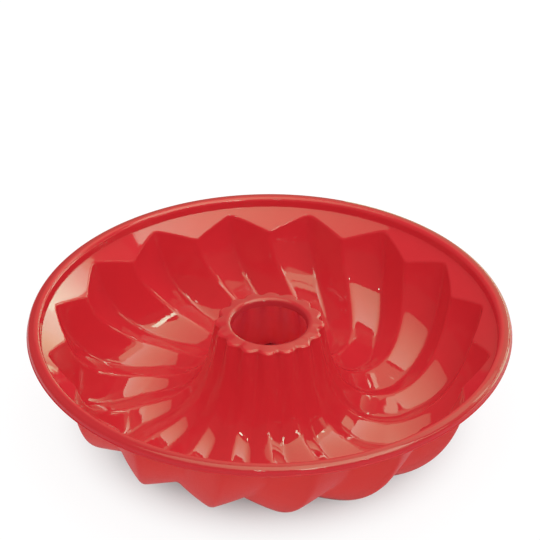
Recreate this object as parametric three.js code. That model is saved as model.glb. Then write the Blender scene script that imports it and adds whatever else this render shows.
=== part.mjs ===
// Ring-cake mould in flexible silicone, standing on its lobed base with the opening upwards.
// Millimetres, +Z up, origin on the resting plane under the centre of the rim.
// Angles run clockwise from +Y, seen from above.
// A meridian lies in the half plane of radius and height. There are two: one follows the ridges of
// the flutes, which stand into the trough, and the other the gutters between them.

import * as THREE from 'three';
import { ParametricGeometry } from 'three/addons/geometries/ParametricGeometry.js';
import { mergeVertices } from 'three/addons/utils/BufferGeometryUtils.js';

// Whole moulding
const RIM_DIAMETER = 260;
const TROUGH_DEPTH = 56.2; // widest line of the rim down to the floor of the gutters
const WALL = 2;
const STANDING_FLAT = 0.4; // taken off the lowest lobes, so that they stand flat
const ZONE_GAP = 0.3; // between neighbouring zones of the moulding

// Rim bead
const BEAD_WIDTH = 7.6;
const BEAD_CROWN = 2; // above the widest line
const BEAD_SKIRT = 3.7; // inner face, below the widest line
const LIP_DROP = 1.4; // parting lip, below the widest line
const LIP_DEPTH = 2.6; // overhang of the parting lip beyond the neck under the bead
const NECK_DROP = 2.2; // neck under the bead, below the widest line

// Lead-in band, from the bead's inner face to the zigzag edge
const BAND_SLOPE = THREE.MathUtils.degToRad(36);
const BAND_TO_TIPS = 3.7; // level distance to the outer tips of the zigzag
const BAND_TO_RIDGES = 12.7; // level distance to its inner corners

// Flutes
const FLUTES = 16;
const SWIRL = THREE.MathUtils.degToRad(23.5); // turn of a flute between the zigzag and the chimney
const SWIRL_END = 1.5; // 0 at the zigzag, 1 on the floor, 2 at the collar
const SWIRL_EASE = 1.6;
const RIDGE_LAND = 0.08; // shares of a flute's pitch
const GUTTER_LAND = 0.18;

// Meridian of the ridges
const RIDGE = {
  wallDraft: THREE.MathUtils.degToRad(10.4),
  wallBend: 24.6, // length of each bend's lead, towards the next bend
  floorRadius: 67,
  floorRise: 2.4, // above the floor of the gutters
  floorBendOut: 19.6,
  floorBendIn: 32.9,
  chimneyBend: 12,
  chimneyDraft: THREE.MathUtils.degToRad(15),
  collarRadius: 29.8,
};

// Meridian of the gutters
const GUTTER = {
  wallDraft: THREE.MathUtils.degToRad(5.2),
  wallBend: 50.5,
  floorRadius: 72.1,
  floorRise: 0,
  floorBendOut: 5.2,
  floorBendIn: 16.8,
  chimneyBend: 52.6,
  chimneyDraft: THREE.MathUtils.degToRad(11.1),
  collarRadius: 26.2,
};

// Chimney collar
const COLLAR_DROP = 1; // top face, below the widest line of the rim
const COLLAR_THICKNESS = 2;
const COLLAR_BEVEL = 0.8;
const HOLE_RADIUS = 20.6;

// Stations along the meridians: where each zone starts and ends, and how many steps it has
const WALL_ZONE = { from: 0, to: 0.72, steps: 5 };
const FLOOR_ZONE = { from: 0.72, to: 1.36, steps: 5 };
const CHIMNEY_ZONE = { from: 1.36, to: 2, steps: 4 };
const CROWN_STEPS = 6;

const SILICONE = { color: 0xc4222b, roughness: 0.28, metalness: 0 };

// Derived places
const rimRadius = RIM_DIAMETER / 2;
const rimLine = TROUGH_DEPTH + WALL - STANDING_FLAT;
const beadInner = rimRadius - BEAD_WIDTH;
const bandTop = new THREE.Vector2(beadInner, rimLine - BEAD_SKIRT);
const bandNormal = new THREE.Vector2(Math.sin(BAND_SLOPE), -Math.cos(BAND_SLOPE));
const collarTop = rimLine - COLLAR_DROP;
const collarBottom = collarTop - COLLAR_THICKNESS;

// Around the mould, each flute has a station at both edges of its ridge and of its gutter, and one
// halfway down each flank. Depth is 0 on the ridge and 1 in the gutter.
const flankMiddle = (RIDGE_LAND + 1 - GUTTER_LAND) / 4;
const FLUTE_STATIONS = [
  { pitch: -RIDGE_LAND / 2, depth: 0 },
  { pitch: RIDGE_LAND / 2, depth: 0 },
  { pitch: flankMiddle, depth: 0.5 },
  { pitch: 0.5 - GUTTER_LAND / 2, depth: 1 },
  { pitch: 0.5 + GUTTER_LAND / 2, depth: 1 },
  { pitch: 1 - flankMiddle, depth: 0.5 },
];
const AROUND = FLUTES * FLUTE_STATIONS.length;

function polar(radius, angle, height, target) {
  return target.set(radius * Math.sin(angle), radius * Math.cos(angle), height);
}

function swirlAt(station) {
  const share = THREE.MathUtils.clamp(station / SWIRL_END, 0, 1);
  return SWIRL * Math.sin((share * Math.PI) / 2) ** SWIRL_EASE;
}

function bandEdge(levelDistance) {
  const fall = levelDistance * Math.tan(BAND_SLOPE);
  return new THREE.Vector2(bandTop.x - levelDistance, bandTop.y - fall);
}

// Corner between two walls: the point WALL away from both of their inner faces.
function mitre(corner, normalA, normalB) {
  const reach = WALL / (1 + normalA.dot(normalB));
  return corner.clone().addScaledVector(normalA.clone().add(normalB), reach);
}

// One meridian: down the wall to the lowest point of the floor, then up the chimney to the collar.
function makeMeridian(size, bandLength) {
  const edge = bandEdge(bandLength);
  const floor = new THREE.Vector2(size.floorRadius, rimLine - TROUGH_DEPTH + size.floorRise);
  const top = new THREE.Vector2(size.collarRadius, collarBottom);
  const wallLead = new THREE.Vector2(-Math.sin(size.wallDraft), -Math.cos(size.wallDraft));
  const chimneyLead = new THREE.Vector2(Math.sin(size.chimneyDraft), -Math.cos(size.chimneyDraft));
  const curves = [
    new THREE.CubicBezierCurve(
      edge,
      edge.clone().addScaledVector(wallLead, size.wallBend),
      new THREE.Vector2(floor.x + size.floorBendOut, floor.y),
      floor,
    ),
    new THREE.CubicBezierCurve(
      floor,
      new THREE.Vector2(floor.x - size.floorBendIn, floor.y),
      top.clone().addScaledVector(chimneyLead, size.chimneyBend),
      top,
    ),
  ];
  return { edge, curves };
}

const ridgeMeridian = makeMeridian(RIDGE, BAND_TO_RIDGES);
const gutterMeridian = makeMeridian(GUTTER, BAND_TO_TIPS);

// Point on a meridian's inner face, the point behind it on the outer face, and the swirl there.
// Inset moves along the meridian, in millimetres.
function wallPoint(meridian, station, inset) {
  const part = station < 1 || (station === 1 && inset < 0) ? 0 : 1;
  const curve = meridian.curves[part];
  const share = THREE.MathUtils.clamp(station - part + inset / curve.getLength(), 0, 1);
  const tangent = curve.getTangentAt(share);
  const normal = new THREE.Vector2(-tangent.y, tangent.x);
  const inner = curve.getPointAt(share);
  const outer = station === 0
    ? mitre(inner, normal, bandNormal)
    : inner.clone().addScaledVector(normal, WALL);
  return { inner, outer, swirl: swirlAt(part + curve.getUtoTmapping(share)) };
}

// A ring of the moulding: a closed section, whose points may differ between ridge and gutter,
// carried round all the flutes.
function ringSolid(section) {
  const place = (u, v, target) => {
    const index = Math.round(v * AROUND) % AROUND;
    const flute = Math.floor(index / FLUTE_STATIONS.length);
    const { pitch, depth } = FLUTE_STATIONS[index % FLUTE_STATIONS.length];
    const { ridge, gutter } = section[Math.round(u * section.length) % section.length];
    const radius = THREE.MathUtils.lerp(ridge.point.x, gutter.point.x, depth);
    const height = THREE.MathUtils.lerp(ridge.point.y, gutter.point.y, depth);
    const swirl = THREE.MathUtils.lerp(ridge.swirl, gutter.swirl, depth);
    const angle = (2 * Math.PI * (flute + pitch)) / FLUTES + swirl;
    polar(radius, angle, Math.max(height, 0), target);
  };
  const geometry = new ParametricGeometry(place, section.length, AROUND);
  geometry.deleteAttribute('normal');
  geometry.deleteAttribute('uv');
  const merged = mergeVertices(geometry);
  merged.computeVertexNormals();
  return merged;
}

function plain(radius, height) {
  const corner = { point: new THREE.Vector2(radius, height), swirl: 0 };
  return { ridge: corner, gutter: corner };
}

function sectionPoint(ridge, gutter, face) {
  return {
    ridge: { point: ridge[face], swirl: ridge.swirl },
    gutter: { point: gutter[face], swirl: gutter.swirl },
  };
}

// Fluted zone of the wall: along the inner face, and back along the outer face.
function flutedSection(zone) {
  const inner = [];
  const outer = [];
  for (let step = 0; step <= zone.steps; step += 1) {
    const station = THREE.MathUtils.lerp(zone.from, zone.to, step / zone.steps);
    const atStart = step === 0 ? ZONE_GAP / 2 : 0;
    const atEnd = step === zone.steps ? -ZONE_GAP / 2 : 0;
    const ridge = wallPoint(ridgeMeridian, station, atStart + atEnd);
    const gutter = wallPoint(gutterMeridian, station, atStart + atEnd);
    inner.push(sectionPoint(ridge, gutter, 'inner'));
    outer.unshift(sectionPoint(ridge, gutter, 'outer'));
  }
  return [...inner, ...outer];
}

// Lead-in band: a cone from the bead's skirt down to the zigzag edge.
function bandSection() {
  const down = new THREE.Vector2(-Math.cos(BAND_SLOPE), -Math.sin(BAND_SLOPE));
  const startInner = bandTop.clone().addScaledVector(down, ZONE_GAP / 2);
  const startOuter = startInner.clone().addScaledVector(bandNormal, WALL);
  const ends = [ridgeMeridian, gutterMeridian].map((meridian) => {
    const { outer } = wallPoint(meridian, 0, 0);
    const inset = down.clone().multiplyScalar(-ZONE_GAP / 2);
    return { inner: meridian.edge.clone().add(inset), outer: outer.clone().add(inset), swirl: 0 };
  });
  return [
    plain(startInner.x, startInner.y),
    sectionPoint(...ends, 'inner'),
    sectionPoint(...ends, 'outer'),
    plain(startOuter.x, startOuter.y),
  ];
}

// Rim bead: inner skirt, half-round crown, parting lip, neck and the foot that meets the band.
function beadSection() {
  const up = new THREE.Vector2(Math.cos(BAND_SLOPE), Math.sin(BAND_SLOPE));
  const footInner = bandTop.clone().addScaledVector(up, ZONE_GAP / 2).setX(beadInner);
  const footOuter = bandTop.clone().addScaledVector(bandNormal, WALL).addScaledVector(up, ZONE_GAP / 2);
  const crown = new THREE.EllipseCurve(
    rimRadius - BEAD_WIDTH / 2,
    rimLine,
    BEAD_WIDTH / 2,
    BEAD_CROWN,
    0,
    Math.PI,
  ).getPoints(CROWN_STEPS);
  return [
    plain(footOuter.x, footOuter.y),
    plain(rimRadius - LIP_DEPTH, rimLine - NECK_DROP),
    plain(rimRadius, rimLine - LIP_DROP),
    ...crown.map((point) => plain(point.x, point.y)),
    plain(footInner.x, footInner.y),
  ];
}

// Chimney collar: a flat ring with a bevelled edge that follows the tops of the flutes.
function collarSection() {
  const { swirl } = wallPoint(ridgeMeridian, 2, 0);
  const scalloped = (inset, height) => ({
    ridge: { point: new THREE.Vector2(RIDGE.collarRadius - inset, height), swirl },
    gutter: { point: new THREE.Vector2(GUTTER.collarRadius - inset, height), swirl },
  });
  const holeEdge = (height) => {
    const corner = { point: new THREE.Vector2(HOLE_RADIUS, height), swirl };
    return { ridge: corner, gutter: corner };
  };
  const seat = collarBottom + ZONE_GAP / 2;
  return [
    holeEdge(seat),
    scalloped(0, seat),
    scalloped(0, collarTop - COLLAR_BEVEL),
    scalloped(COLLAR_BEVEL, collarTop),
    holeEdge(collarTop),
  ];
}

function addZone(group, name, section) {
  const mesh = new THREE.Mesh(ringSolid(section), new THREE.MeshStandardMaterial(SILICONE));
  mesh.name = name;
  group.add(mesh);
}

const mould = new THREE.Group();
mould.name = 'savarin_mould';
addZone(mould, 'rim_bead', beadSection());
addZone(mould, 'lead_in_band', bandSection());
addZone(mould, 'fluted_wall', flutedSection(WALL_ZONE));
addZone(mould, 'trough_floor', flutedSection(FLOOR_ZONE));
addZone(mould, 'chimney', flutedSection(CHIMNEY_ZONE));
addZone(mould, 'chimney_collar', collarSection());

export default mould;
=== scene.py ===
"""Glossy red silicone savarin mould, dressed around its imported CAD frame.

The whole moulding is one closed section in the half plane of radius and height, carried round the
swirled flutes. Each zone of the mould is cut out of it as a closed solid of its own, so that the
surface runs on from zone to zone without a seam.
"""

import math
from collections import namedtuple

import bpy
import numpy as np
from mathutils import Euler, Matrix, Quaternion, Vector


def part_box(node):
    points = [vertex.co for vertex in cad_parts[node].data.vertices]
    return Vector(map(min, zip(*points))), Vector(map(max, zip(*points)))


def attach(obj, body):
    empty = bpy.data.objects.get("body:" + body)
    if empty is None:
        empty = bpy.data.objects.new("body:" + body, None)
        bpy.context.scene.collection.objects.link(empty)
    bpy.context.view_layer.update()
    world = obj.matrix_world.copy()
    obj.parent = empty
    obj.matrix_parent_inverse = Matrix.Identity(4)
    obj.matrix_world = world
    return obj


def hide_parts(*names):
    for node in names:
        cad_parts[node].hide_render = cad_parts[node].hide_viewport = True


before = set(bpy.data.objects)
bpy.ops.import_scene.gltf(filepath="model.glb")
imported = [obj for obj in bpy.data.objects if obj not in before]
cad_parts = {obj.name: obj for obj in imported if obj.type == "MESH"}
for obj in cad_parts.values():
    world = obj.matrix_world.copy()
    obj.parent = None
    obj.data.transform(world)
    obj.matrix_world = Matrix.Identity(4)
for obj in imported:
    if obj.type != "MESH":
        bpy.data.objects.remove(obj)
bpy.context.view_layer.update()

bl_info = {
    "name": "Savarin Mould",
    "version": (1, 0, 0),
    "blender": (4, 5, 0),
    "location": "View3D > Sidebar > Savarin Mould",
    "description": "Dresses a packed ring-cake mould in glossy red silicone",
    "category": "Add Mesh",
}

MM = 0.001
RIM_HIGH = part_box("rim_bead")[1]  # highest corner of the rim's box


def length(name, description, default):
    """A size in metres that a user can change."""
    return bpy.props.FloatProperty(
        name=name, description=description, default=default, min=0.0, precision=5, unit="LENGTH"
    )


def angle(name, description, degrees):
    """An angle that a user can change."""
    return bpy.props.FloatProperty(
        name=name, description=description, default=math.radians(degrees), subtype="ANGLE"
    )


def share(name, description, default):
    """A share from 0 to 1 that a user can change."""
    return bpy.props.FloatProperty(
        name=name, description=description, default=default, min=0.0, max=1.0, subtype="FACTOR"
    )


def colour(name, description, default):
    """A linear colour that a user can change."""
    return bpy.props.FloatVectorProperty(
        name=name, description=description, default=default, size=3, min=0.0, max=1.0, subtype="COLOR"
    )


class RidgeLine(bpy.types.PropertyGroup):
    """Line of the ridges, which stand into the trough, from the zigzag edge to the collar."""

    band_length: length("Band length", "Level distance from the bead to the zigzag edge", 12.7 * MM)
    wall_draft: angle("Wall draft", "Lean of the wall at the zigzag edge", 11.3)
    wall_bend: length("Wall bend", "How far the wall keeps that lean", 27.6 * MM)
    floor_radius: length("Floor radius", "Radius of the lowest point", 67 * MM)
    floor_rise: length("Floor rise", "Height of the lowest point above the gutters", 3.9 * MM)
    floor_bend_out: length("Floor bend out", "How far the floor keeps level outwards", 19.6 * MM)
    floor_bend_in: length("Floor bend in", "How far the floor keeps level inwards", 32.9 * MM)
    chimney_bend: length("Chimney bend", "How far the chimney keeps its draft", 16.5 * MM)
    chimney_draft: angle("Chimney draft", "Lean of the chimney under its collar", 12.7)
    collar_radius: length("Collar radius", "Radius under the collar", 29.6 * MM)


class GutterLine(bpy.types.PropertyGroup):
    """Line of the gutters between the ridges, from the zigzag edge to the collar."""

    band_length: length("Band length", "Level distance from the bead to the zigzag edge", 3.7 * MM)
    wall_draft: angle("Wall draft", "Lean of the wall at the zigzag edge", 6.9)
    wall_bend: length("Wall bend", "How far the wall keeps that lean", 50.5 * MM)
    floor_radius: length("Floor radius", "Radius of the lowest point", 72.1 * MM)
    floor_rise: length("Floor rise", "Height of the lowest point above the gutters", 0)
    floor_bend_out: length("Floor bend out", "How far the floor keeps level outwards", 8.2 * MM)
    floor_bend_in: length("Floor bend in", "How far the floor keeps level inwards", 16.8 * MM)
    chimney_bend: length("Chimney bend", "How far the chimney keeps its draft", 52.6 * MM)
    chimney_draft: angle("Chimney draft", "Lean of the chimney under its collar", 11.1)
    collar_radius: length("Collar radius", "Radius under the collar", 27.3 * MM)


class MouldSizes(bpy.types.PropertyGroup):
    """Sizes of the moulding."""

    rim_radius: length("Rim radius", "Out to the parting lip", RIM_HIGH.x)
    crest_height: length("Crest height", "Top of the bead above the resting plane", RIM_HIGH.z)
    wall: length("Wall", "Thickness of the moulding", 2 * MM)

    bead_width: length("Bead width", "From the foot of the inner face to the parting lip", 7.6 * MM)
    bead_crest: length("Bead crest", "From the highest line to the parting lip", 4.9 * MM)
    bead_skirt: length("Bead skirt", "Foot of the inner face, below the crest", 5.5 * MM)
    foot_round: length("Foot rounding", "Reach of the rounding between band and inner face", 0.4 * MM)
    bead_draft: angle("Bead draft", "Lean of the inner face", 6)
    bead_shoulder: length("Bead shoulder", "Radius between the inner face and the crest", 2.5 * MM)
    bead_crown: length("Bead crown", "Radius of the crown outside the crest", 10 * MM)
    bead_cheek: length("Bead cheek", "Radius between the crown and the outer face", 2.2 * MM)
    lip_reach: length("Lip reach", "How far the parting lip stands out of the bead", 0.4 * MM)
    lip_drop: length("Lip drop", "Top of the parting lip, below the crest", 3.7 * MM)
    lip_thickness: length("Lip thickness", "Height of the parting lip's edge", 0.5 * MM)
    neck_depth: length("Neck depth", "Neck under the bead, inside the parting lip", 2.6 * MM)
    neck_drop: length("Neck drop", "Neck under the bead, below the crest", 4.8 * MM)
    band_slope: angle("Band slope", "Fall of the band inside the bead", 35)

    flutes: bpy.props.IntProperty(name="Flutes", description="Number of flutes", default=16, min=3)
    swirl: angle("Swirl", "Turn of a flute from the zigzag edge to the chimney", 24.4)
    swirl_end: bpy.props.FloatProperty(
        name="Swirl end", description="Station where the swirl ends", default=1.56, min=0.1, max=2.0
    )
    swirl_ease: bpy.props.FloatProperty(
        name="Swirl ease", description="How gently the swirl starts", default=1.6, min=0.5
    )
    zigzag_round: length("Zigzag rounding", "Reach of the rounding on each side", 1.2 * MM)
    trough_depth: length("Trough depth", "Floor of the gutters, below the crest", 58.2 * MM)

    collar_drop: length("Collar drop", "Top of the collar, below the crest of the bead", 1.8 * MM)
    collar_thickness: length("Collar thickness", "Height of its scalloped edge", 3.2 * MM)
    collar_brow: length("Collar brow", "From the hole to the top of the collar", 1.8 * MM)
    brow_fall: length("Brow fall", "Fall from the top of the collar to the hole", 0.9 * MM)
    collar_fall: length("Collar fall", "Fall from the top of the collar to its scalloped edge", 0.7 * MM)
    bevel_width: length("Bevel width", "Width of the bevel on its scalloped edge", 1.2 * MM)
    bevel_fall: length("Bevel fall", "Height of this bevel", 1.0 * MM)
    bevel_round: length("Bevel rounding", "Reach of the rounding on the bevel's edges", 0.4 * MM)
    hole_radius: length("Hole radius", "Hole through the collar", 20.9 * MM)
    hole_depth: length("Hole depth", "Foot of the hole's own wall, below the top of the collar", 4.2 * MM)
    hole_taper: length("Hole taper", "How far the hole narrows downwards", 0.9 * MM)
    seat_round: length("Seat rounding", "Reach of the roundings under the collar", 0.5 * MM)
    hole_round: length("Hole rounding", "Reach of the rounding on the hole's top edge", 0.9 * MM)
    brow_round: length("Brow rounding", "Reach of the rounding on the top of the collar", 1.0 * MM)

    ridge: bpy.props.PointerProperty(type=RidgeLine)
    gutter: bpy.props.PointerProperty(type=GutterLine)


class SiliconeFinish(bpy.types.PropertyGroup):
    """Colours and gloss of the silicone."""

    red: colour("Red", "Colour of the cooking side", (0.715, 0.03, 0.041))
    # Darker red on the rim bead: painted shade that evens out the stronger light on its top
    rim_painted_shade_red: colour("Red of the rim", "Deeper colour of the thick rim bead", (0.58, 0.027, 0.035))
    # Darker red on the collar and on the rim's outside: painted shade that evens out the stronger light
    # there
    collar_painted_shade_red: colour("Red of the collar", "Also the colour of the rim's outside", (0.634, 0.028, 0.037))
    red_through: colour("Red through", "Colour of the outside", (0.46, 0.034, 0.036))
    # Lighter red inside the chimney: painted light that lifts the shaded hollow under the hole
    core_painted_light_red: colour("Red of the core", "Colour inside the chimney", (0.6, 0.036, 0.085))
    mottle: share("Mottle", "How much darker the colour gets in places", 0.06)
    gloss_roughness: share("Gloss roughness", "Roughness of the cooking side", 0.05)
    satin_roughness: share("Satin roughness", "Roughness of the outside", 0.5)
    rim_roughness: share("Rim roughness", "Roughness of the outside of the rim", 0.2)
    wear: share("Wear", "How much the roughness varies, as a share of it", 0.5)
    satin_specular: share("Satin specular", "Strength of the outside's reflections", 0.18)
    ripple: length("Ripple", "Height of the faint waves in the surface", 0.1 * MM)
    ripple_length: length("Ripple length", "Length of these waves", 12 * MM)
    grain: length("Grain", "Height of the fine grain in the surface", 0.004 * MM)
    grain_length: length("Grain length", "Size of this grain", 0.9 * MM)
    light_reach: length("Light reach", "How far light travels in the silicone", 26 * MM)


class MouldSettings(bpy.types.PropertyGroup):
    """All settings of the mould."""

    sizes: bpy.props.PointerProperty(type=MouldSizes)
    finish: bpy.props.PointerProperty(type=SiliconeFinish)


# Section of the moulding

# Sides of the moulding, which are also its material slots, and the cuts between its zones
INSIDE = 0
OUTSIDE = 1
RIM_OUTSIDE = 2
CUT = -1

# Stations along a meridian, with 1 on the floor, and the zones' borders
ZIGZAG_EDGE = 0.0
WALL_END = 0.72
FLOOR_END = 1.36
UNDER_COLLAR = 2.0

# Steps of the mesh
INNER_STEPS = 50  # per unit of station, on the cooking side
OUTER_STEPS = 25  # per unit of station, on the outside
BAND_STEPS = 4
ARC_STEPS = 8
CORNER_STEPS = 6
FLUTE_STEPS = 24  # around the mould, for each flute
CREASE_CROWDING = 0.75  # how far these steps gather at the creases
MEASURE_STEPS = 400  # along a curve whose length is measured
LEAST_AREA = 1e-12  # keeps a face without area from dividing by zero

# Details of the bead
CHEEK_SPLIT = math.radians(62)  # turn on its cheek where its outside begins
LIP_FALL = 0.25  # fall of the parting lip's top, as a share of its thickness
LIP_ROUND = 1 / 3  # rounding of the lip's edges, as a share of its thickness

# Rounding of the creases, as shares of a flute's pitch, along the stations
CREASE_STATIONS = (0.0, 0.5, 1.0, 1.5, 2.0)
RIDGE_ROUND = (0.11, 0.12, 0.15, 0.13, 0.6)
GUTTER_ROUND = (0.12, 0.08, 0.16, 0.25, 0.25)

# A run is a stretch of the section in one zone: points of the ridge and of the gutter line, the
# swirl at each of them, and the stations that set how round the creases are.
Run = namedtuple("Run", "zone side points swirl station")


def bezier(corners, t):
    """Points on a cubic Bezier curve."""
    a, b, c, d = corners
    t = t[:, None]
    s = 1 - t
    return s**3 * a + 3 * s * s * t * b + 3 * s * t * t * c + t**3 * d


def bezier_slope(corners, t):
    """Unit tangents of a cubic Bezier curve."""
    a, b, c, d = corners
    t = t[:, None]
    s = 1 - t
    slope = s * s * (b - a) + 2 * s * t * (c - b) + t * t * (d - c)
    return slope / np.linalg.norm(slope, axis=1)[:, None]


def bezier_by_length(corners, shares):
    """Curve parameters at shares of the curve's length, and that length."""
    t = np.linspace(0, 1, MEASURE_STEPS + 1)
    steps = np.linalg.norm(np.diff(bezier(corners, t), axis=0), axis=1)
    run = np.concatenate([[0], np.cumsum(steps)])
    return np.interp(np.asarray(shares) * run[-1], run, t), run[-1]


def direction(turn):
    """Unit vector, turned from straight up towards larger radii."""
    return np.array([math.sin(turn), math.cos(turn)])


def arc(centre, radius, start, end):
    """Points on an arc, whose turns count from straight up towards larger radii."""
    turns = np.linspace(start, end, ARC_STEPS + 1)
    return np.array([centre + radius * direction(turn) for turn in turns])


def corner_arc(before, corner, after):
    """A rounded corner."""
    t = np.linspace(0, 1, CORNER_STEPS + 1)[:, None]
    return (1 - t) ** 2 * before + 2 * t * (1 - t) * corner + t * t * after


def rounded_path(corners, reaches):
    """A path whose inner corners are rounded, each from a reach before it to a reach after it."""
    path = [corners[:1]]
    for before, corner, after, reach in zip(corners, corners[1:], corners[2:], reaches):
        back = (before - corner) / np.linalg.norm(before - corner)
        ahead = (after - corner) / np.linalg.norm(after - corner)
        path.append(corner_arc(corner + reach * back, corner, corner + reach * ahead))
    path.append(corners[-1:])
    return np.concatenate(path)


class Meridian:
    """A ridge or gutter line in the half plane of radius and height, with its swirl."""

    def __init__(self, sizes, line):
        self.sizes = sizes
        self.line = line
        slope = sizes.band_slope
        self.up_band = np.array([math.cos(slope), math.sin(slope)])
        self.band_out = np.array([math.sin(slope), -math.cos(slope)])
        bead_foot = sizes.rim_radius - sizes.bead_width
        self.band_top = np.array([bead_foot, sizes.crest_height - sizes.bead_skirt])
        self.edge = self.band_top - line.band_length / math.cos(slope) * self.up_band
        floor = np.array([line.floor_radius, sizes.crest_height - sizes.trough_depth + line.floor_rise])
        top = np.array([line.collar_radius, self.collar_height() - sizes.collar_thickness])
        wall_lead = np.array([-math.sin(line.wall_draft), -math.cos(line.wall_draft)])
        chimney_lead = np.array([math.sin(line.chimney_draft), -math.cos(line.chimney_draft)])
        level = np.array([1, 0])
        wall = [
            self.edge,
            self.edge + line.wall_bend * wall_lead,
            floor + line.floor_bend_out * level,
            floor,
        ]
        chimney = [
            floor,
            floor - line.floor_bend_in * level,
            top + line.chimney_bend * chimney_lead,
            top,
        ]
        self.curves = [np.array(wall), np.array(chimney)]
        self.wall_length = bezier_by_length(self.curves[0], [1.0])[1]

    def collar_height(self):
        """Height of the collar's top."""
        return self.sizes.crest_height - self.sizes.collar_drop

    def swirl(self, station):
        """Turn of a flute, which grows from the zigzag edge on."""
        turned = np.clip(station / self.sizes.swirl_end, 0, 1)
        return self.sizes.swirl * np.sin(turned * math.pi / 2) ** self.sizes.swirl_ease

    def face(self, stations, offset):
        """Points and swirl at stations, on the inner face or offset from it into the wall."""
        stations = np.asarray(stations)
        part = np.where(stations < 1, 0, 1)
        points = np.empty((len(stations), 2))
        swirl = np.empty(len(stations))
        for index, corners in enumerate(self.curves):
            here = part == index
            t, _ = bezier_by_length(corners, stations[here] - index)
            slope = bezier_slope(corners, t)
            outwards = np.stack([-slope[:, 1], slope[:, 0]], axis=1)
            points[here] = bezier(corners, t) + offset * outwards
            swirl[here] = self.swirl(index + t)
        return points, swirl

    def zigzag(self, offset):
        """The rounded zigzag edge, from the wall up to the band, its swirl, and where it starts."""
        reach = self.sizes.zigzag_round
        wall_slope = bezier_slope(self.curves[0], np.zeros(1))[0]
        wall_out = np.array([-wall_slope[1], wall_slope[0]])
        mitre = offset / (1 + wall_out @ self.band_out) * (wall_out + self.band_out)
        corner = self.edge + mitre
        run_in = reach + mitre @ wall_slope
        below, swirl = self.face([run_in / self.wall_length], offset)
        bend = corner_arc(below[0], corner, corner + reach * self.up_band)
        return bend, swirl[0] * np.linspace(1, 0, len(bend)), run_in / self.wall_length

    def band(self, offset):
        """The band, from above the rounded zigzag edge to below the bead's foot."""
        start = self.zigzag(offset)[0][-1]
        foot = self.band_top + offset * self.band_out - self.sizes.foot_round * self.up_band
        t = np.linspace(0, 1, BAND_STEPS + 1)[:, None]
        return start + t * (foot - start)

    def cheek_radius(self):
        """Radius of the bead's outer face, inside the parting lip."""
        return self.sizes.rim_radius - self.sizes.lip_reach

    def bead_arcs(self):
        """Centres of the bead's crown and outer cheek, and the turn where the one meets the other."""
        sizes = self.sizes
        crown = np.array([sizes.rim_radius - sizes.bead_crest, sizes.crest_height - sizes.bead_crown])
        spare = sizes.bead_crown - sizes.bead_cheek
        turn = math.asin((self.cheek_radius() - crown[0] - sizes.bead_cheek) / spare)
        return crown, crown + spare * direction(turn), turn

    def bead_inside(self):
        """The bead, from the band over the crest to the split on its outer cheek."""
        sizes = self.sizes
        crown, cheek_centre, turn = self.bead_arcs()
        shoulder_centre = crown + [0, sizes.bead_crown - sizes.bead_shoulder]
        shoulder = arc(shoulder_centre, sizes.bead_shoulder, sizes.bead_draft - math.pi / 2, 0)
        reach = sizes.foot_round
        foot = self.band_top
        skirt = rounded_path(np.array([foot - reach * self.up_band, foot, shoulder[0]]), [reach])
        top = arc(crown, sizes.bead_crown, 0, turn)
        cheek = arc(cheek_centre, sizes.bead_cheek, turn, CHEEK_SPLIT)
        return np.concatenate([skirt[:-1], shoulder, top[1:], cheek[1:]])

    def bead_outside(self):
        """The rest of the cheek, the parting lip and the neck under it, to the band's back."""
        sizes = self.sizes
        _, centre, _ = self.bead_arcs()
        cheek = arc(centre, sizes.bead_cheek, CHEEK_SPLIT, math.pi / 2)
        top = sizes.crest_height
        lip_top = top - sizes.lip_drop
        lip_foot = lip_top - sizes.lip_thickness
        back = self.band_top + sizes.wall * self.band_out
        reach = sizes.foot_round
        corners = [
            cheek[-1],
            [self.cheek_radius(), lip_top],
            [sizes.rim_radius, lip_top - LIP_FALL * sizes.lip_thickness],
            [sizes.rim_radius, lip_foot],
            [sizes.rim_radius - sizes.neck_depth, top - sizes.neck_drop],
            back,
            back - reach * self.up_band,
        ]
        lip_round = LIP_ROUND * sizes.lip_thickness
        under = rounded_path(np.array(corners), [lip_round, lip_round, lip_round, reach, reach])
        return np.concatenate([cheek[:-1], under])

    def collar_path(self):
        """The collar's back under the hole, and the rest through the hole and over the collar."""
        sizes = self.sizes
        height = self.collar_height()
        start = self.face([UNDER_COLLAR], sizes.wall)[0][0]
        seat = np.array([start[0], height - sizes.collar_thickness])
        foot = np.array([sizes.hole_radius - sizes.hole_taper, height - sizes.hole_depth])
        hole = np.array([sizes.hole_radius, height - sizes.brow_fall])
        brow = np.array([sizes.hole_radius + sizes.collar_brow, height])
        edge = np.array([self.line.collar_radius - sizes.bevel_width, height - sizes.collar_fall])
        bevel = edge + [sizes.bevel_width, -sizes.bevel_fall]
        corners = np.array([start, seat, foot, hole, brow, edge, bevel, self.curves[1][-1]])
        seat_reach = sizes.seat_round
        edge_reach = sizes.bevel_round
        reaches = [seat_reach, seat_reach, sizes.hole_round, sizes.brow_round, edge_reach, edge_reach]
        path = rounded_path(corners, reaches)[1:]
        under = CORNER_STEPS + 1
        return path[: under + 1], path[under:]


def both(lines, make):
    """What make gives for the ridge and for the gutter, as one array."""
    return np.array([make(line) for line in lines])


def station_steps(start, end, steps):
    """Stations from start up to, but without, end."""
    count = round(abs(end - start) * steps)
    return np.linspace(start, end, count, endpoint=False)


def offset_and_steps(lines, side):
    """Depth of a side in the wall, and its steps per unit of station."""
    if side == INSIDE:
        return 0, INNER_STEPS
    return lines[0].sizes.wall, OUTER_STEPS


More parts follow.
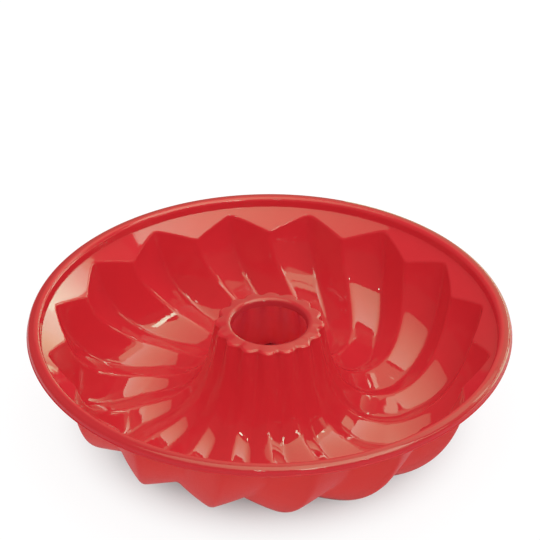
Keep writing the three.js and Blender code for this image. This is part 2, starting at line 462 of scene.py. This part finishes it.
def fluted_run(lines, zone, side, start, end):
    """A run along the flutes, on the inside or the outside of the moulding."""
    offset, steps = offset_and_steps(lines, side)
    stations = station_steps(start, end, steps)
    faces = [line.face(stations, offset) for line in lines]
    return Run(zone, side, np.array([f[0] for f in faces]), np.array([f[1] for f in faces]), stations)


def even_run(zone, side, points, swirl, station):
    """A run whose swirl and rounding are the same all along."""
    count = points.shape[1]
    return Run(zone, side, points, np.full((2, count), swirl), np.full(count, station))


def wall_run(lines, side):
    """The steep part of the flutes, up to and with the rounded zigzag edge."""
    offset, steps = offset_and_steps(lines, side)
    bends = [line.zigzag(offset) for line in lines]
    first = max(bend[2] for bend in bends)
    stations = station_steps(WALL_END, ZIGZAG_EDGE, steps)
    stations = stations[stations > first]
    faces = [line.face(stations, offset) for line in lines]
    points = np.array([np.concatenate([f[0], b[0][:-1]]) for f, b in zip(faces, bends)])
    swirl = np.array([np.concatenate([f[1], b[1][:-1]]) for f, b in zip(faces, bends)])
    station = np.concatenate([stations, np.zeros(points.shape[1] - len(stations))])
    return Run("fluted_wall", side, points, swirl, station)


def backwards(run, following):
    """The run from its far end, which is the row that follows it, down to its second row."""
    points = np.concatenate([run.points[:, 1:], following[0]], axis=1)[:, ::-1]
    swirl = np.concatenate([run.swirl[:, 1:], following[1]], axis=1)[:, ::-1]
    station = np.concatenate([run.station[1:], following[2]])[::-1]
    return Run(run.zone, run.side, points, swirl, station)


def mould_section(sizes):
    """The closed section of the moulding, as runs from the collar along the inside and back."""
    lines = [Meridian(sizes, sizes.ridge), Meridian(sizes, sizes.gutter)]
    full = sizes.swirl
    band = both(lines, lambda line: line.band(0))
    band_back = both(lines, lambda line: line.band(sizes.wall))
    band_row = (band_back[:, :1], np.zeros((2, 1)), np.zeros(1))
    bead = both(lines, Meridian.bead_inside)
    bead_back = both(lines, Meridian.bead_outside)
    collar = both(lines, lambda line: line.collar_path()[1])
    collar_back = both(lines, lambda line: line.collar_path()[0])
    return [
        fluted_run(lines, "chimney", INSIDE, UNDER_COLLAR, FLOOR_END),
        fluted_run(lines, "trough_floor", INSIDE, FLOOR_END, WALL_END),
        wall_run(lines, INSIDE),
        even_run("lead_in_band", INSIDE, band[:, :-1], 0.0, ZIGZAG_EDGE),
        even_run("rim_bead", INSIDE, bead[:, :-1], 0.0, ZIGZAG_EDGE),
        even_run("rim_bead", RIM_OUTSIDE, bead_back[:, :-1], 0.0, ZIGZAG_EDGE),
        even_run("lead_in_band", OUTSIDE, band_back[:, :0:-1], 0.0, ZIGZAG_EDGE),
        backwards(wall_run(lines, OUTSIDE), band_row),
        fluted_run(lines, "trough_floor", OUTSIDE, WALL_END, FLOOR_END),
        fluted_run(lines, "chimney", OUTSIDE, FLOOR_END, UNDER_COLLAR),
        even_run("chimney_collar", OUTSIDE, collar_back[:, :-1], full, UNDER_COLLAR),
        even_run("chimney_collar", INSIDE, collar[:, :-1], full, UNDER_COLLAR),
    ]


def flute_depth(pitch, ridge_round, gutter_round):
    """Depth of a flute, 0 on the ridge and 1 in the gutter, with straight flanks between roundings."""
    # Half a pitch lies between a ridge and the gutter beside it.
    across = np.abs(pitch - np.round(pitch))[None, :]
    ridge = ridge_round[:, None]
    gutter = gutter_round[:, None]
    fall = 1 / (0.5 - ridge / 4 - gutter / 4)
    flank = fall * (across - ridge / 4)
    top = fall * across**2 / ridge
    bottom = 1 - fall * (0.5 - across) ** 2 / gutter
    return np.where(across < ridge / 2, top, np.where(across > 0.5 - gutter / 2, bottom, flank))


def mould_grid(sizes):
    """Points and outward normals of the moulding, as section rows by places around, with its runs."""
    runs = mould_section(sizes)
    points = np.concatenate([run.points for run in runs], axis=1)
    swirl = np.concatenate([run.swirl for run in runs], axis=1)
    station = np.concatenate([run.station for run in runs])
    steps = np.arange(sizes.flutes * FLUTE_STEPS) / FLUTE_STEPS
    pitch = steps - CREASE_CROWDING * np.sin(4 * math.pi * steps) / (4 * math.pi)
    depth = flute_depth(
        pitch,
        np.interp(station, CREASE_STATIONS, RIDGE_ROUND),
        np.interp(station, CREASE_STATIONS, GUTTER_ROUND),
    )
    ridge = points[0][:, None, :]
    gutter = points[1][:, None, :]
    plane = ridge + depth[:, :, None] * (gutter - ridge)
    turn = swirl[0][:, None] + depth * (swirl[1] - swirl[0])[:, None]
    around = 2 * math.pi * pitch / sizes.flutes + turn
    height = np.maximum(plane[:, :, 1], 0)
    grid = np.stack([plane[:, :, 0] * np.sin(around), plane[:, :, 0] * np.cos(around), height], axis=2)
    return grid, grid_normals(grid), runs


def grid_normals(grid):
    """Normals at the points of a grid that is closed both ways, weighted by the faces' areas."""
    ahead = np.roll(grid, -1, axis=0)
    beside = np.roll(grid, -1, axis=1)
    opposite = np.roll(ahead, -1, axis=1)
    faces = np.cross(beside - ahead, opposite - grid)
    total = faces + np.roll(faces, 1, axis=0)
    total = total + np.roll(total, 1, axis=1)
    return total / np.linalg.norm(total, axis=2)[:, :, None]


def zone_rows(runs, zone):
    """Rows of the section that bound a zone, in order, each with the side of the face after it."""
    starts = np.cumsum([0] + [run.station.size for run in runs])
    rows = []
    sides = []
    for run, start, end in zip(runs, starts, starts[1:]):
        if run.zone == zone:
            if rows and rows[-1] == start:
                rows.pop()
                sides.pop()
            rows.extend(range(start, end + 1))
            sides.extend([run.side] * run.station.size + [CUT])
    return np.array(rows) % starts[-1], np.array(sides)


def ring_faces(rows, around):
    """Four-sided faces between the rows of a zone, which is closed both ways."""
    corner = np.arange(rows * around).reshape(rows, around)
    ahead = np.roll(corner, -1, axis=0)
    beside = np.roll(corner, -1, axis=1)
    opposite = np.roll(ahead, -1, axis=1)
    return np.stack([corner, beside, opposite, ahead], axis=2).reshape(-1, 4)


def flat_normals(points, faces):
    """Unit normals of four-sided faces."""
    first, second, third, fourth = (points[faces[:, corner]] for corner in range(4))
    normals = np.cross(third - first, fourth - second)
    return normals / np.maximum(np.linalg.norm(normals, axis=1), LEAST_AREA)[:, None]


def add_zone(context, zone, name):
    """Adds one zone of the moulding as a closed solid of its own, in place of its CAD node."""
    settings = context.scene.savarin_mould
    grid, normals, runs = mould_grid(settings.sizes)
    rows, sides = zone_rows(runs, zone)
    around = grid.shape[1]
    points = grid[rows].reshape(-1, 3)
    faces = ring_faces(len(rows), around)
    mesh = bpy.data.meshes.new(name)
    mesh.from_pydata(points, [], faces)
    mesh.materials.append(silicone_gloss(settings.finish))
    mesh.materials.append(silicone_satin(settings.finish))
    mesh.materials.append(silicone_rim(settings.finish))
    mesh.polygons.foreach_set("material_index", np.maximum(sides, INSIDE).repeat(around))
    mesh.shade_smooth()
    cut = (sides == CUT).repeat(around)
    shading = normals[rows].reshape(-1, 3)[faces]
    shading[cut] = flat_normals(points, faces)[cut][:, None, :]
    mesh.normals_split_custom_set(shading.reshape(-1, 3))
    piece = bpy.data.objects.new(name, mesh)
    context.scene.collection.objects.link(piece)
    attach(piece, "root")
    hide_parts(zone)


# Silicone

SILICONE_INDEX = 1.41
COLLAR_END = 26.5 * MM  # radius where the collar's painted shade ends
COLLAR_BLEND = 2 * MM
CORE_END = 40 * MM  # radius up to which the outside has the painted light inside the chimney
CORE_BLEND = 20 * MM
RIM_START = 124.5 * MM  # radius where the rim bead's painted shade begins
RIM_BLEND = 2 * MM
LIGHT_THROUGH = (1.0, 0.35, 0.3)  # how far red, green and blue light go, as shares of the reach


class Signal:
    """A socket of a shader, with arithmetic that adds Math nodes to the shader's tree."""

    def __init__(self, tree, socket=None):
        self.tree = tree
        self.socket = socket

    def node(self, kind, settings=None, inputs=None, output=0):
        """Adds a node: its settings first, then the values or links of its sockets."""
        node = self.tree.nodes.new(kind)
        for key, value in (settings or {}).items():
            setattr(node, key, value)
        for key, value in (inputs or {}).items():
            if isinstance(value, Signal):
                self.tree.links.new(value.socket, node.inputs[key])
            else:
                node.inputs[key].default_value = value
        return Signal(self.tree, node.outputs[output] if node.outputs else None)

    def blend(self, factor, first, second):
        """A mix of two colours."""
        return self.node(
            "ShaderNodeMix", {"data_type": "RGBA"}, {"Factor": factor, "A": first, "B": second}, "Result"
        )

    def ramp(self, value, start, end):
        """A smooth step from 0 at start to 1 at end."""
        return self.node(
            "ShaderNodeMapRange",
            {"interpolation_type": "SMOOTHSTEP"},
            {"Value": value, "From Min": start, "From Max": end},
        )

    def scale(self, tint, factor):
        """A colour times a factor."""
        return self.node("ShaderNodeVectorMath", {"operation": "SCALE"}, {0: tint, "Scale": factor})

    def math(self, operation, first, second):
        """A Math node on two values."""
        return self.node("ShaderNodeMath", {"operation": operation}, {0: first, 1: second})

    def __add__(self, other):
        return self.math("ADD", self, other)

    def __radd__(self, other):
        return self.math("ADD", other, self)

    def __sub__(self, other):
        return self.math("SUBTRACT", self, other)

    def __rsub__(self, other):
        return self.math("SUBTRACT", other, self)

    def __mul__(self, other):
        return self.math("MULTIPLY", self, other)

    def __rmul__(self, other):
        return self.math("MULTIPLY", other, self)


# A colour that the silicone has outside a radius, and the width of the blend there
Tint = namedtuple("Tint", "red radius blend")


def axis_distance(shader, place):
    """Distance of a place from the mould's axis."""
    level = shader.node("ShaderNodeVectorMath", {"operation": "MULTIPLY"}, {0: place, 1: (1, 1, 0)})
    return shader.node("ShaderNodeVectorMath", {"operation": "LENGTH"}, {0: level}, "Value")


def silicone(name, finish, red, tints, roughness, values):
    """Red silicone with one finish: faintly mottled and rippled, with a fine grain."""
    material = bpy.data.materials.get(name)
    if material:
        return material
    material = bpy.data.materials.new(name)
    material.use_nodes = True
    tree = material.node_tree
    tree.nodes.clear()
    shader = Signal(tree)
    place = shader.node("ShaderNodeTexCoord", output="Object")
    waves = shader.node("ShaderNodeTexNoise", {}, {"Vector": place, "Scale": 1 / finish.ripple_length})
    grain = shader.node("ShaderNodeTexNoise", {}, {"Vector": place, "Scale": 1 / finish.grain_length})
    tone = (*red, 1)
    for tint in tints:
        outside = shader.ramp(axis_distance(shader, place), tint.radius, tint.radius + tint.blend)
        tone = shader.blend(outside, tone, (*tint.red, 1))
    tone = shader.blend(finish.mottle * waves, tone, (0, 0, 0, 1))
    height = finish.ripple * waves + finish.grain * grain
    normal = shader.node("ShaderNodeBump", {}, {"Distance": 1.0, "Height": height})
    surface = shader.node(
        "ShaderNodeBsdfPrincipled",
        {},
        {
            **values,
            "Base Color": tone,
            "Roughness": roughness * (1 - finish.wear / 2) + roughness * finish.wear * grain,
            "IOR": SILICONE_INDEX,
            "Normal": normal,
        },
    )
    shader.node("ShaderNodeOutputMaterial", {}, {"Surface": surface})
    return material


def silicone_gloss(finish):
    """The cooking side, with painted shade: darker red on the collar and the rim bead, whose tops get
    more light.
    """
    tints = (
        Tint(finish.red, COLLAR_END, COLLAR_BLEND),
        # Painted shade: the rim bead gets a darker red because its top catches more light
        Tint(finish.rim_painted_shade_red, RIM_START, RIM_BLEND),
    )
    # Painted shade: the collar's red is darker than the cooking side's red
    return silicone("silicone_gloss", finish, finish.collar_painted_shade_red, tints, finish.gloss_roughness, {})


def silicone_satin(finish):
    """The outside, which also shows the red light that comes through the wall, with painted light inside
    the chimney.
    """
    values = {
        "Specular IOR Level": finish.satin_specular,
        "Subsurface Weight": 1.0,
        "Subsurface Radius": LIGHT_THROUGH,
        "Subsurface Scale": finish.light_reach,
    }
    # Painted light: inside the chimney the outside gets a lighter red than elsewhere
    tints = (Tint(finish.red_through, CORE_END, CORE_BLEND),)
    return silicone("silicone_satin", finish, finish.core_painted_light_red, tints, finish.satin_roughness, values)


def silicone_rim(finish):
    """The outside of the rim bead, too thick to let light through."""
    values = {"Specular IOR Level": finish.satin_specular}
    # Its base is the collar's darker red, painted shade that evens out the light on the rim's outside
    return silicone("silicone_rim", finish, finish.collar_painted_shade_red, (), finish.rim_roughness, values)


# Studio

FLOOR_SIZE = 8.0
FLOOR_WHITE = 0.85
FLOOR_LIFT = 0.8  # share of the plain white that seen rays get instead of the lit floor
FLOOR_GLOW = 1.1  # that white, which makes up for the share of the lit floor
FLOOR_SHADE_START = 0.06  # radius under the mould where the lift begins
FLOOR_SHADE_END = 0.12  # radius where it is full
SKY_LEVEL = 0.4  # soft light from all around, at the horizon
SKY_OVERHEAD = 0.92  # how much more comes from overhead
SKY_RIGHT = 0.2  # how much more comes from the right
SKY_FRONT = 0.2  # how much more comes from the camera's side
DARK_ROOM = 0.2  # what the gloss mirrors between the softboxes

CAMERA_LENS = 143.0
CAMERA_ELEVATION = math.radians(33.49)
CAMERA_DISTANCE = 1.1335
CAMERA_AIM_RIGHT = 0.3 * MM
CAMERA_AIM_RISE = 30.9 * MM  # above the rim

# Azimuths are clockwise from +Y seen from above, and angles are in degrees. The radiance runs
# from the softbox's left side to its right side, with a bulge in the middle.
Softbox = namedtuple("Softbox", "name corners azimuth elevation roll width height left right bulge")
SOFTBOX_DISTANCE = 1.5
SOFTBOX_DIM = 4.0  # radiance up to which a softbox has its dim colour
SOFTBOX_BRIGHT = 8.0  # radiance from which it has its bright colour
DIM_COLOUR = (0.43, 1.0, 0.6)  # greenish, because the red of the silicone is added to it
BRIGHT_COLOUR = (0.43, 1.0, 0.75)
SOFTBOXES = (
    Softbox("softbox_overhead", 8, 158.2, 83.8, -158.2, 1.755, 1.83, 1.8, 8.0, -0.8),
    Softbox("strip_back_right_low", 4, 23.9, 15.4, 49.8, 0.759, 0.085, 0.3, 9.5, 0),
    Softbox("strip_back_right_high", 4, 43.7, 36.4, 50.2, 0.709, 0.085, 13, 3.5, 2.5),
    Softbox("softbox_back", 4, 12.5, 51.5, 0, 1.03, 0.556, 0.6, 2.2, 0.3),
    Softbox("softbox_back_low", 4, 12.5, 26, 0, 1.555, 0.776, 0.5, 2.2, -0.5),
    Softbox("softbox_back_right", 4, 40.5, 45, 0, 0.15, 0.12, 5.7, 5.7, 0.4),
    Softbox("softbox_low_right", 4, 60, 30, 90, 1.42, 0.6, 11, 0.5, -3),
    Softbox("horizon_back_right", 4, 28, 4.5, 0, 1.2, 0.26, 3.5, 4.5, 0),
    Softbox("horizon_right", 4, 76, 4.5, 0, 1.3, 0.26, 5.5, 3.5, 0),
    Softbox("softbox_right", 4, 95, 46.5, 0, 0.22, 0.556, 4.5, 4.5, 0.3),
    Softbox("softbox_right_low", 4, 121, 36, 0, 0.2, 0.5, 1.9, 1.9, 0.2),
    Softbox("softbox_front_right", 4, 130, 52, 0, 0.85, 0.315, 4.5, 4.5, 0.3),
    Softbox("lamp_front_right", 4, 159, 47.5, -54, 0.4, 0.14, 20, 20, 3),
    Softbox("lamp_right", 8, 131, 48, 0, 0.07, 0.1, 18, 18, 3),
    Softbox("lamp_front", 8, -175, 47, 0, 0.1, 0.1, 32, 32, 5),
)


def seen_rays(shader):
    """1 for the rays that see the floor directly, in a mirror or through glass, and else 0."""
    names = ("Is Camera Ray", "Is Glossy Ray", "Is Transmission Ray")
    camera, glossy, transmitted = (shader.node("ShaderNodeLightPath", output=name) for name in names)
    return camera + glossy + transmitted


def add_world(context):
    """Soft light, mostly from overhead, which is white to the camera and dark in the gloss."""
    world = bpy.data.worlds.new("studio")
    world.use_nodes = True
    world.node_tree.nodes.clear()
    shader = Signal(world.node_tree)
    camera = shader.node("ShaderNodeLightPath", output="Is Camera Ray")
    glossy = shader.node("ShaderNodeLightPath", output="Is Glossy Ray")
    heading = shader.node("ShaderNodeTexCoord", output="Generated")
    right = shader.node("ShaderNodeSeparateXYZ", {}, {"Vector": heading}, "X")
    back = shader.node("ShaderNodeSeparateXYZ", {}, {"Vector": heading}, "Y")
    up = shader.node("ShaderNodeSeparateXYZ", {}, {"Vector": heading}, "Z")
    sky = SKY_LEVEL + SKY_OVERHEAD * up + SKY_RIGHT * right - SKY_FRONT * back
    strength = camera + (1 - camera) * (glossy * DARK_ROOM + (1 - glossy) * sky)
    tint = shader.blend(glossy, (1, 1, 1, 1), (*DIM_COLOUR, 1))
    light = shader.node("ShaderNodeBackground", {}, {"Color": shader.scale(tint, strength)})
    shader.node("ShaderNodeOutputWorld", {}, {"Surface": light})
    context.scene.world = world


def add_floor(context):
    """A wide white floor, which keeps the mould's shadow."""
    material = bpy.data.materials.new("floor_white")
    material.use_nodes = True
    material.node_tree.nodes.clear()
    shader = Signal(material.node_tree)
    lit = shader.node("ShaderNodeBsdfDiffuse", {}, {"Color": (FLOOR_WHITE, FLOOR_WHITE, FLOOR_WHITE, 1)})
    plain = shader.node("ShaderNodeEmission", {}, {"Strength": FLOOR_GLOW})
    place = shader.node("ShaderNodeTexCoord", output="Object")
    radius = shader.node("ShaderNodeVectorMath", {"operation": "LENGTH"}, {0: place}, "Value")
    open_floor = shader.ramp(radius, FLOOR_SHADE_START, FLOOR_SHADE_END)
    lift = FLOOR_LIFT * seen_rays(shader) * open_floor
    mixed = shader.node("ShaderNodeMixShader", {}, {"Fac": lift, 1: lit, 2: plain})
    shader.node("ShaderNodeOutputMaterial", {}, {"Surface": mixed})
    half = FLOOR_SIZE / 2
    corners = [(-half, -half, 0), (half, -half, 0), (half, half, 0), (-half, half, 0)]
    mesh = bpy.data.meshes.new("floor")
    mesh.from_pydata(corners, [], [(0, 1, 2, 3)])
    mesh.materials.append(material)
    floor = bpy.data.objects.new("floor", mesh)
    context.scene.collection.objects.link(floor)


def softbox_material(softbox):
    """Light that changes from the softbox's left side to its right side, with a bulge between."""
    material = bpy.data.materials.new(softbox.name)
    material.use_nodes = True
    material.node_tree.nodes.clear()
    shader = Signal(material.node_tree)
    place = shader.node("ShaderNodeTexCoord", output="Generated")
    across = shader.node("ShaderNodeSeparateXYZ", {}, {"Vector": place}, "X")
    middle = 4 * across * (1 - across)
    level = softbox.left + across * (softbox.right - softbox.left) + middle * softbox.bulge
    whiteness = shader.ramp(level, SOFTBOX_DIM, SOFTBOX_BRIGHT)
    tint = shader.blend(whiteness, (*DIM_COLOUR, 1), (*BRIGHT_COLOUR, 1))
    light = shader.node("ShaderNodeEmission", {}, {"Color": shader.scale(tint, level)})
    shader.node("ShaderNodeOutputMaterial", {}, {"Surface": light})
    return material


def add_softbox(context, softbox):
    """A softbox that faces the mould and that only the gloss sees."""
    azimuth = math.radians(softbox.azimuth)
    elevation = math.radians(softbox.elevation)
    turns = 2 * math.pi * (np.arange(softbox.corners) + 0.5) / softbox.corners
    reach = 0.5 / math.cos(math.pi / softbox.corners)
    across = reach * softbox.width
    upright = reach * softbox.height
    corners = [(across * math.cos(turn), upright * math.sin(turn), 0) for turn in turns]
    mesh = bpy.data.meshes.new(softbox.name)
    mesh.from_pydata(corners, [], [range(softbox.corners)])
    mesh.materials.append(softbox_material(softbox))
    panel = bpy.data.objects.new(softbox.name, mesh)
    context.scene.collection.objects.link(panel)
    level = SOFTBOX_DISTANCE * math.cos(elevation)
    height = SOFTBOX_DISTANCE * math.sin(elevation)
    panel.location = (level * math.sin(azimuth), level * math.cos(azimuth), height)
    facing = Euler((math.pi / 2 + elevation, 0, -azimuth)).to_quaternion()
    panel.rotation_mode = "QUATERNION"
    panel.rotation_quaternion = facing @ Quaternion((0, 0, 1), math.radians(softbox.roll))
    panel.visible_camera = False
    panel.visible_diffuse = False
    panel.visible_shadow = False


def add_camera(context):
    """The photograph's camera."""
    data = bpy.data.cameras.new("camera")
    data.lens = CAMERA_LENS
    camera = bpy.data.objects.new("camera", data)
    context.scene.collection.objects.link(camera)
    back = Vector((0, -math.cos(CAMERA_ELEVATION), math.sin(CAMERA_ELEVATION)))
    aim = Vector((CAMERA_AIM_RIGHT, 0, RIM_HIGH.z + CAMERA_AIM_RISE))
    camera.location = aim + CAMERA_DISTANCE * back
    camera.rotation_euler = (math.pi / 2 - CAMERA_ELEVATION, 0, 0)
    context.scene.camera = camera


# Operators


class ZoneOperator:
    """Shared work of the operators that add one zone of the moulding."""

    bl_options = {"REGISTER", "UNDO"}
    zone = ""
    piece_name = ""

    def execute(self, context):
        """Adds the zone that the operator names."""
        add_zone(context, self.zone, self.piece_name)
        return {"FINISHED"}


class MOULD_OT_rim_bead(ZoneOperator, bpy.types.Operator):
    """Add the rounded bead round the opening, with its parting lip"""

    bl_idname = "mould.rim_bead"
    bl_label = "Rim Bead"
    zone = "rim_bead"
    piece_name = "silicone_rim_bead"


class MOULD_OT_lead_in_band(ZoneOperator, bpy.types.Operator):
    """Add the smooth cone between the bead and the zigzag edge"""

    bl_idname = "mould.lead_in_band"
    bl_label = "Lead-in Band"
    zone = "lead_in_band"
    piece_name = "silicone_lead_in_band"


class MOULD_OT_fluted_wall(ZoneOperator, bpy.types.Operator):
    """Add the steep part of the flutes"""

    bl_idname = "mould.fluted_wall"
    bl_label = "Fluted Wall"
    zone = "fluted_wall"
    piece_name = "silicone_fluted_wall"


class MOULD_OT_trough_floor(ZoneOperator, bpy.types.Operator):
    """Add the round floor, where the flutes swirl inwards"""

    bl_idname = "mould.trough_floor"
    bl_label = "Trough Floor"
    zone = "trough_floor"
    piece_name = "silicone_trough_floor"


class MOULD_OT_chimney(ZoneOperator, bpy.types.Operator):
    """Add the hollow fluted cone in the middle"""

    bl_idname = "mould.chimney"
    bl_label = "Chimney"
    zone = "chimney"
    piece_name = "silicone_chimney"


class MOULD_OT_chimney_collar(ZoneOperator, bpy.types.Operator):
    """Add the flat scalloped ring with the hole, on top of the chimney"""

    bl_idname = "mould.chimney_collar"
    bl_label = "Chimney Collar"
    zone = "chimney_collar"
    piece_name = "silicone_chimney_collar"


class MOULD_OT_studio(bpy.types.Operator):
    """Add the pale floor, the soft lights and the camera"""

    bl_idname = "mould.studio"
    bl_label = "Studio"
    bl_options = {"REGISTER", "UNDO"}

    def execute(self, context):
        """Adds what stands around the mould."""
        context.scene.view_settings.view_transform = "Standard"
        add_world(context)
        add_floor(context)
        for softbox in SOFTBOXES:
            add_softbox(context, softbox)
        add_camera(context)
        return {"FINISHED"}


PIECE_OPERATORS = (
    MOULD_OT_rim_bead,
    MOULD_OT_lead_in_band,
    MOULD_OT_fluted_wall,
    MOULD_OT_trough_floor,
    MOULD_OT_chimney,
    MOULD_OT_chimney_collar,
)


class MOULD_PT_sidebar(bpy.types.Panel):
    """Pieces and stage of the savarin mould"""

    bl_label = "Savarin Mould"
    bl_idname = "MOULD_PT_sidebar"
    bl_space_type = "VIEW_3D"
    bl_region_type = "UI"
    bl_category = "Savarin Mould"

    def draw(self, context):
        """Lists the operators."""
        column = self.layout.column()
        for operator in (*PIECE_OPERATORS, MOULD_OT_studio):
            column.operator(operator.bl_idname)


CLASSES = (
    RidgeLine,
    GutterLine,
    MouldSizes,
    SiliconeFinish,
    MouldSettings,
    *PIECE_OPERATORS,
    MOULD_OT_studio,
    MOULD_PT_sidebar,
)


def register():
    """Makes the classes and the settings known to Blender."""
    for cls in CLASSES:
        bpy.utils.register_class(cls)
    bpy.types.Scene.savarin_mould = bpy.props.PointerProperty(type=MouldSettings)


def unregister():
    """Takes them away again."""
    del bpy.types.Scene.savarin_mould
    for cls in reversed(CLASSES):
        bpy.utils.unregister_class(cls)


def main():
    """Adds the pieces and the studio."""
    register()
    bpy.ops.mould.rim_bead()
    bpy.ops.mould.lead_in_band()
    bpy.ops.mould.fluted_wall()
    bpy.ops.mould.trough_floor()
    bpy.ops.mould.chimney()
    bpy.ops.mould.chimney_collar()
    bpy.ops.mould.studio()


if __name__ == "__main__":
    main()
